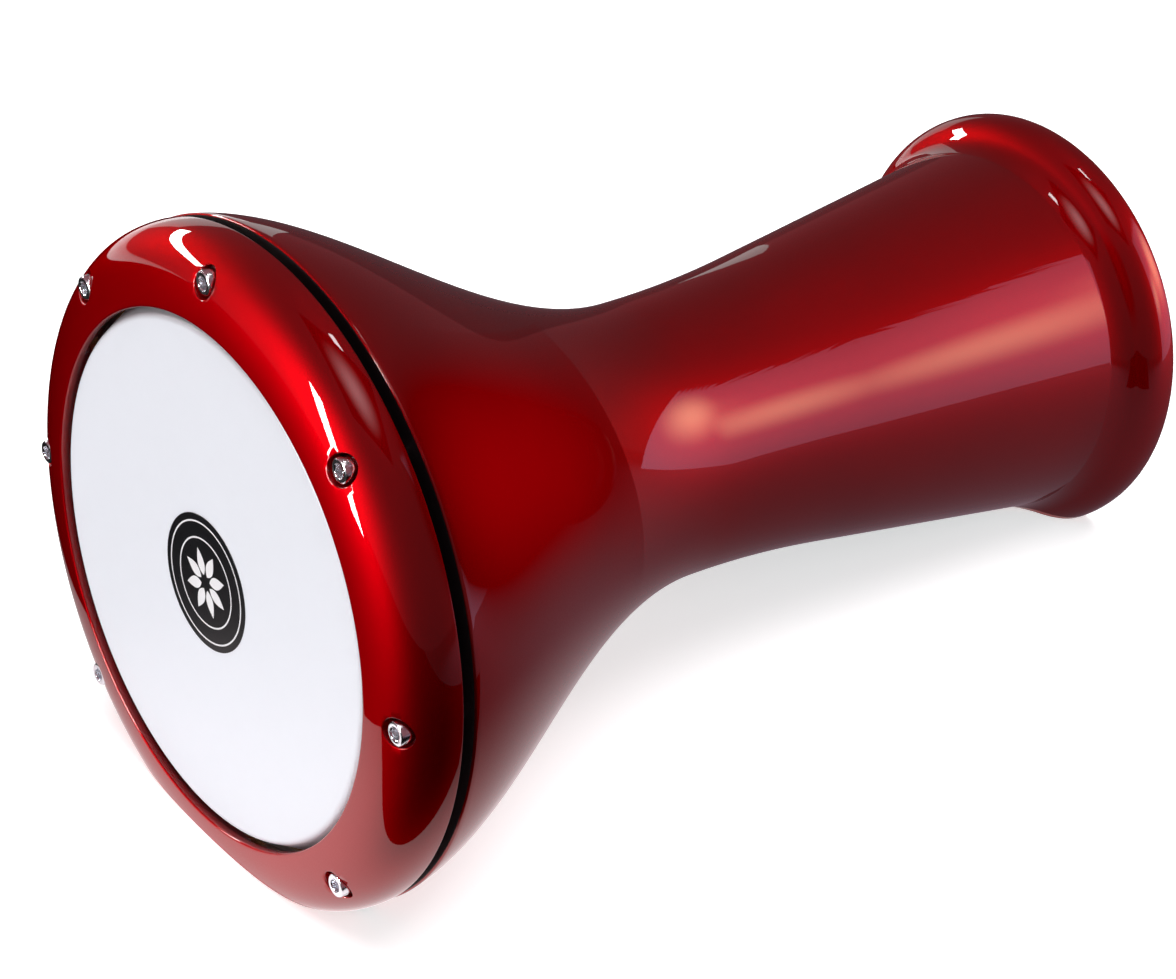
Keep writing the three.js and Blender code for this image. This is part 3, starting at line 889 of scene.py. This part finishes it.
class GOBLETDRUM_OT_stage(bpy.types.Operator):
    """Lays the studio floor under the resting drum, and sets the lights and the camera"""
    bl_idname = "gobletdrum.stage"
    bl_label = "Stage"

    def execute(self, context):
        scene = context.scene
        scene.view_settings.view_transform = "Standard"
        shell, ring = scene.goblet_shell, scene.goblet_ring
        # The drum lies on the edges of its ring and foot: this is the way down to the floor.
        round_angle = math.radians(-47.3)
        ring_edge = ring.underside + RING_FOOT_EDGE
        lean = math.atan((ring.radius - shell.foot_radius) / (ring_edge - FOOT_EDGE_HEIGHT))
        down = Vector((math.cos(round_angle) * math.cos(lean), math.sin(round_angle) * math.cos(lean),
                       -math.sin(lean)))
        depth = (math.cos(lean) * ring.radius - math.sin(lean) * ring_edge) * MM
        ahead = Vector((-0.13731768, -0.81607426, -0.56139705))
        up = -down
        away = (ahead - ahead.dot(up) * up).normalized()
        right = away.cross(up).normalized()
        ground = Matrix((right, away, up)).transposed().to_4x4()
        ground.translation = Vector((0.0, 0.0, 0.235)) + down * depth
        self.floor(ground, scene.goblet_finish)
        self.lights(ground)
        self.world(scene)
        self.camera(scene, ahead)
        return {"FINISHED"}

    def camera(self, scene, ahead):
        side = Vector((0.40127204, 0.47234476, -0.7847746))
        top = side.cross(ahead)
        lens = bpy.data.cameras.new("front_camera")
        lens.sensor_fit = "HORIZONTAL"
        lens.sensor_width = 36.0
        lens.lens = 87.12
        lens.clip_end = 60.0
        camera = bpy.data.objects.new("front_camera", lens)
        turned_to = Matrix((side, top, -ahead)).transposed().to_4x4()
        turned_to.translation = Vector((0.17804, 0.98161, 0.94027))
        camera.matrix_world = turned_to
        scene.collection.objects.link(camera)
        scene.camera = camera

    def floor(self, ground, look):
        """A wide round floor, seen from above only, so that views from below aren't blocked."""
        material, tree = blank_material("opal_acrylic_floor")
        # Opal shooting table, lit from below: matt white with a very faint tooth and light shadows.
        tooth = noise(tree, object_place(tree), 3, 3.0)
        rough = spread(tree, tooth, 0.85, 1.0)
        paper = add(tree, "ShaderNodeBsdfPrincipled",
                    {"Base Color": linear(look.floor), "Roughness": rough, "Specular IOR Level": 0.1,
                     "Emission Color": linear("#f2ffff"), "Emission Strength": 0.6})
        clear = add(tree, "ShaderNodeBsdfTransparent")
        side = add(tree, "ShaderNodeNewGeometry")
        both = add(tree, "ShaderNodeMixShader", {0: side.outputs["Backfacing"], 1: paper, 2: clear})
        add(tree, "ShaderNodeOutputMaterial", {"Surface": both})
        reach, sides = 4000, 96
        turns = np.linspace(0, 2 * math.pi, sides + 1)[:-1]
        rim = [(reach * math.cos(a), reach * math.sin(a), 0.0) for a in turns]
        floor = mesh_object("studio_floor", rim, [], [tuple(range(sides))])
        floor.data.transform(ground)
        floor.data.materials.append(material)

    def lights(self, ground):
        head, tube = (-0.11, -0.19, 0.18), (0.12, 0.02, 0.14)
        # Where each lamp hangs and aims, and its width, depth and radiance.
        for name, place, aim, size, tint in (
                ("floor_light", (0.2, 0.3, 2.6), (0, 0, 0), (3.2, 3.2, 3.4), "#ffffff"),
                ("front_fill", (1.8, -1.7, 1.5), (0.2, 0, 0), (2.0, 2.0, 1.8), "#ffffff"),
                ("head_fill", (-1.9, -1.3, 0.9), head, (1.4, 1.4, 1.26), "#c8fff6")):
            light(ground, name, place, aim, *size, tint, sheen=False)
        for name, place, aim, size in (
                ("tall_strip", toward(head, -112, 12, 1.6), head, (0.16, 1.0, 60)),
                ("back_strip", toward(head, -48, 17, 1.7), head, (1.2, 0.14, 26)),
                ("top_strip", toward(tube, 60, 80, 1.5), tube, (0.5, 0.12, 14))):
            light(ground, name, place, aim, *size, fill=False)
        # White backdrop behind the drum, and a pale panel beside it with a rough upper edge.
        corners = [(x, 2.4, z) for x, z in ((-1.3, 0), (-0.1, 0), (-0.1, 0.7), (-1.3, 0.7))]
        card(ground, "backdrop", corners, "#ffffff", 0.8)
        side, near, far, steps = 1.0, 0.4, -0.48, 120
        edge = []
        for step in range(steps + 1):
            away = near - 0.88 * step / steps
            wave = 0.04 * math.sin(7.3 * step) + 0.05 * math.sin(2.9 * step)
            edge.append((side, away, 0.98 - 0.75 * (away - 0.05) + wave))
        warm = "#ffd49c"
        card(ground, "side_panel", [(side, near, 0.0)] + edge + [(side, far, 0.0)], "#b8a0c0", 2.0,
             [((side, -0.28, 0.47), 0.24, 4.4, warm), ((side, 0.12, 0.5), 0.34, 6.0, warm),
              ((side, -0.1, 0.4), 0.9, 1.0, "#c9a6c4")])
        glow = toward(head, 112, 76, 1.3)
        corners = [(glow[0] + x, glow[1] + y, glow[2])
                   for x, y in ((-0.5, -0.5), (0.5, -0.5), (0.5, 0.5), (-0.5, 0.5))]
        card(ground, "soft_glow", corners, "#000000", 0.0, [(glow, 0.45, 3.0, "#ffe8ec")])
        # Red bounce card beside the neck, bent round the bowl: the red glow of the bowl and neck.
        bends, low, high = [(-0.04, -0.045), (0.03, -0.12), (0.17, -0.4)], 0.03, 0.6
        for number, (start, end) in enumerate(zip(bends, bends[1:])):
            corners = [(*start, low), (*end, low), (*end, high), (*start, high)]
            card(ground, f"red_bounce_{number + 1}", corners, "#b80014", 0.14,
                 [((0.032, -0.124, 0.2), 0.13, 1.2, "#e00016"),
                  ((0.07, -0.19, 0.27), 0.16, 0.2, "#c80016")], soft=True)
        # The floor's tone in reflections, painted on cards that only reflections see: bright at the
        # ring and by the panel, dim farther off, and black in front and to the left, as if the floor
        # ended there.
        side, front, back, end = 0.3, -0.26, 0.9, 4.1
        for name, corners, tint, strength, places in (
                ("floor_tone", ((-side, front), (side, front), (side, -end), (end, -end), (end, end),
                                (-side, end)), "#8a7880", 0.3,
                 [((-0.2, -0.2, 0.0), 0.36, 1.3, "#fff4f4"), ((0.9, -0.2, 0.0), 1.0, 0.8, "#b08ea6"),
                  ((0.1, 0.0, 0.0), 0.6, 0.35, "#a08a94")]),
                ("front_flag", ((-end, front), (side, front), (side, -end), (-end, -end)),
                 "#050505", 0.0, ()),
                ("left_flag", ((-end, back), (-side, back), (-side, front), (-end, front)),
                 "#050505", 0.0, ())):
            card(ground, name, [(*corner, 0.002) for corner in corners], tint, strength, places)

    def world(self, scene):
        """Pale backdrop behind the drum, and a dark room for its reflections."""
        world = bpy.data.worlds.new("studio_room")
        world.use_nodes = True
        tree = world.node_tree
        tree.nodes.clear()
        seen = add(tree, "ShaderNodeLightPath").outputs["Is Camera Ray"]
        pale = add(tree, "ShaderNodeBackground", {"Color": linear("#f6f6f8"), "Strength": 1.0})
        room = add(tree, "ShaderNodeBackground", {"Color": linear("#825258"), "Strength": 1.0})
        mixed = add(tree, "ShaderNodeMixShader", {0: seen, 1: room, 2: pale})
        add(tree, "ShaderNodeOutputWorld", {"Surface": mixed})
        scene.world = world


class GOBLETDRUM_PT_panel(bpy.types.Panel):
    """Lists the drum's operators and sizes in the sidebar"""
    bl_idname = "GOBLETDRUM_PT_panel"
    bl_label = "Goblet Drum"
    bl_space_type = "VIEW_3D"
    bl_region_type = "UI"
    bl_category = "Goblet Drum"

    def draw(self, context):
        layout = self.layout
        for operator in OPERATORS:
            layout.operator(operator.bl_idname)
        for name in GROUPS:
            box, group = layout.box(), getattr(context.scene, name)
            for key in group.__annotations__:
                box.prop(group, key)


GROUPS = {
    "goblet_shell": GOBLETDRUM_PG_shell,
    "goblet_ring": GOBLETDRUM_PG_ring,
    "goblet_bolt": GOBLETDRUM_PG_bolt,
    "goblet_finish": GOBLETDRUM_PG_finish,
}
OPERATORS = (GOBLETDRUM_OT_shell, GOBLETDRUM_OT_ring, GOBLETDRUM_OT_head, GOBLETDRUM_OT_bolts,
             GOBLETDRUM_OT_fittings, GOBLETDRUM_OT_stage)


def register():
    for group in GROUPS.values():
        bpy.utils.register_class(group)
    for name, group in GROUPS.items():
        setattr(bpy.types.Scene, name, PointerProperty(type=group))
    for operator in OPERATORS:
        bpy.utils.register_class(operator)
    bpy.utils.register_class(GOBLETDRUM_PT_panel)


def unregister():
    bpy.utils.unregister_class(GOBLETDRUM_PT_panel)
    for operator in reversed(OPERATORS):
        bpy.utils.unregister_class(operator)
    for name in GROUPS:
        delattr(bpy.types.Scene, name)
    for group in reversed(list(GROUPS.values())):
        bpy.utils.unregister_class(group)


def main():
    register()
    bpy.ops.gobletdrum.shell()
    bpy.ops.gobletdrum.ring()
    bpy.ops.gobletdrum.head()
    bpy.ops.gobletdrum.bolts()
    bpy.ops.gobletdrum.fittings()
    bpy.ops.gobletdrum.stage()


if __name__ == "__main__":
    main()
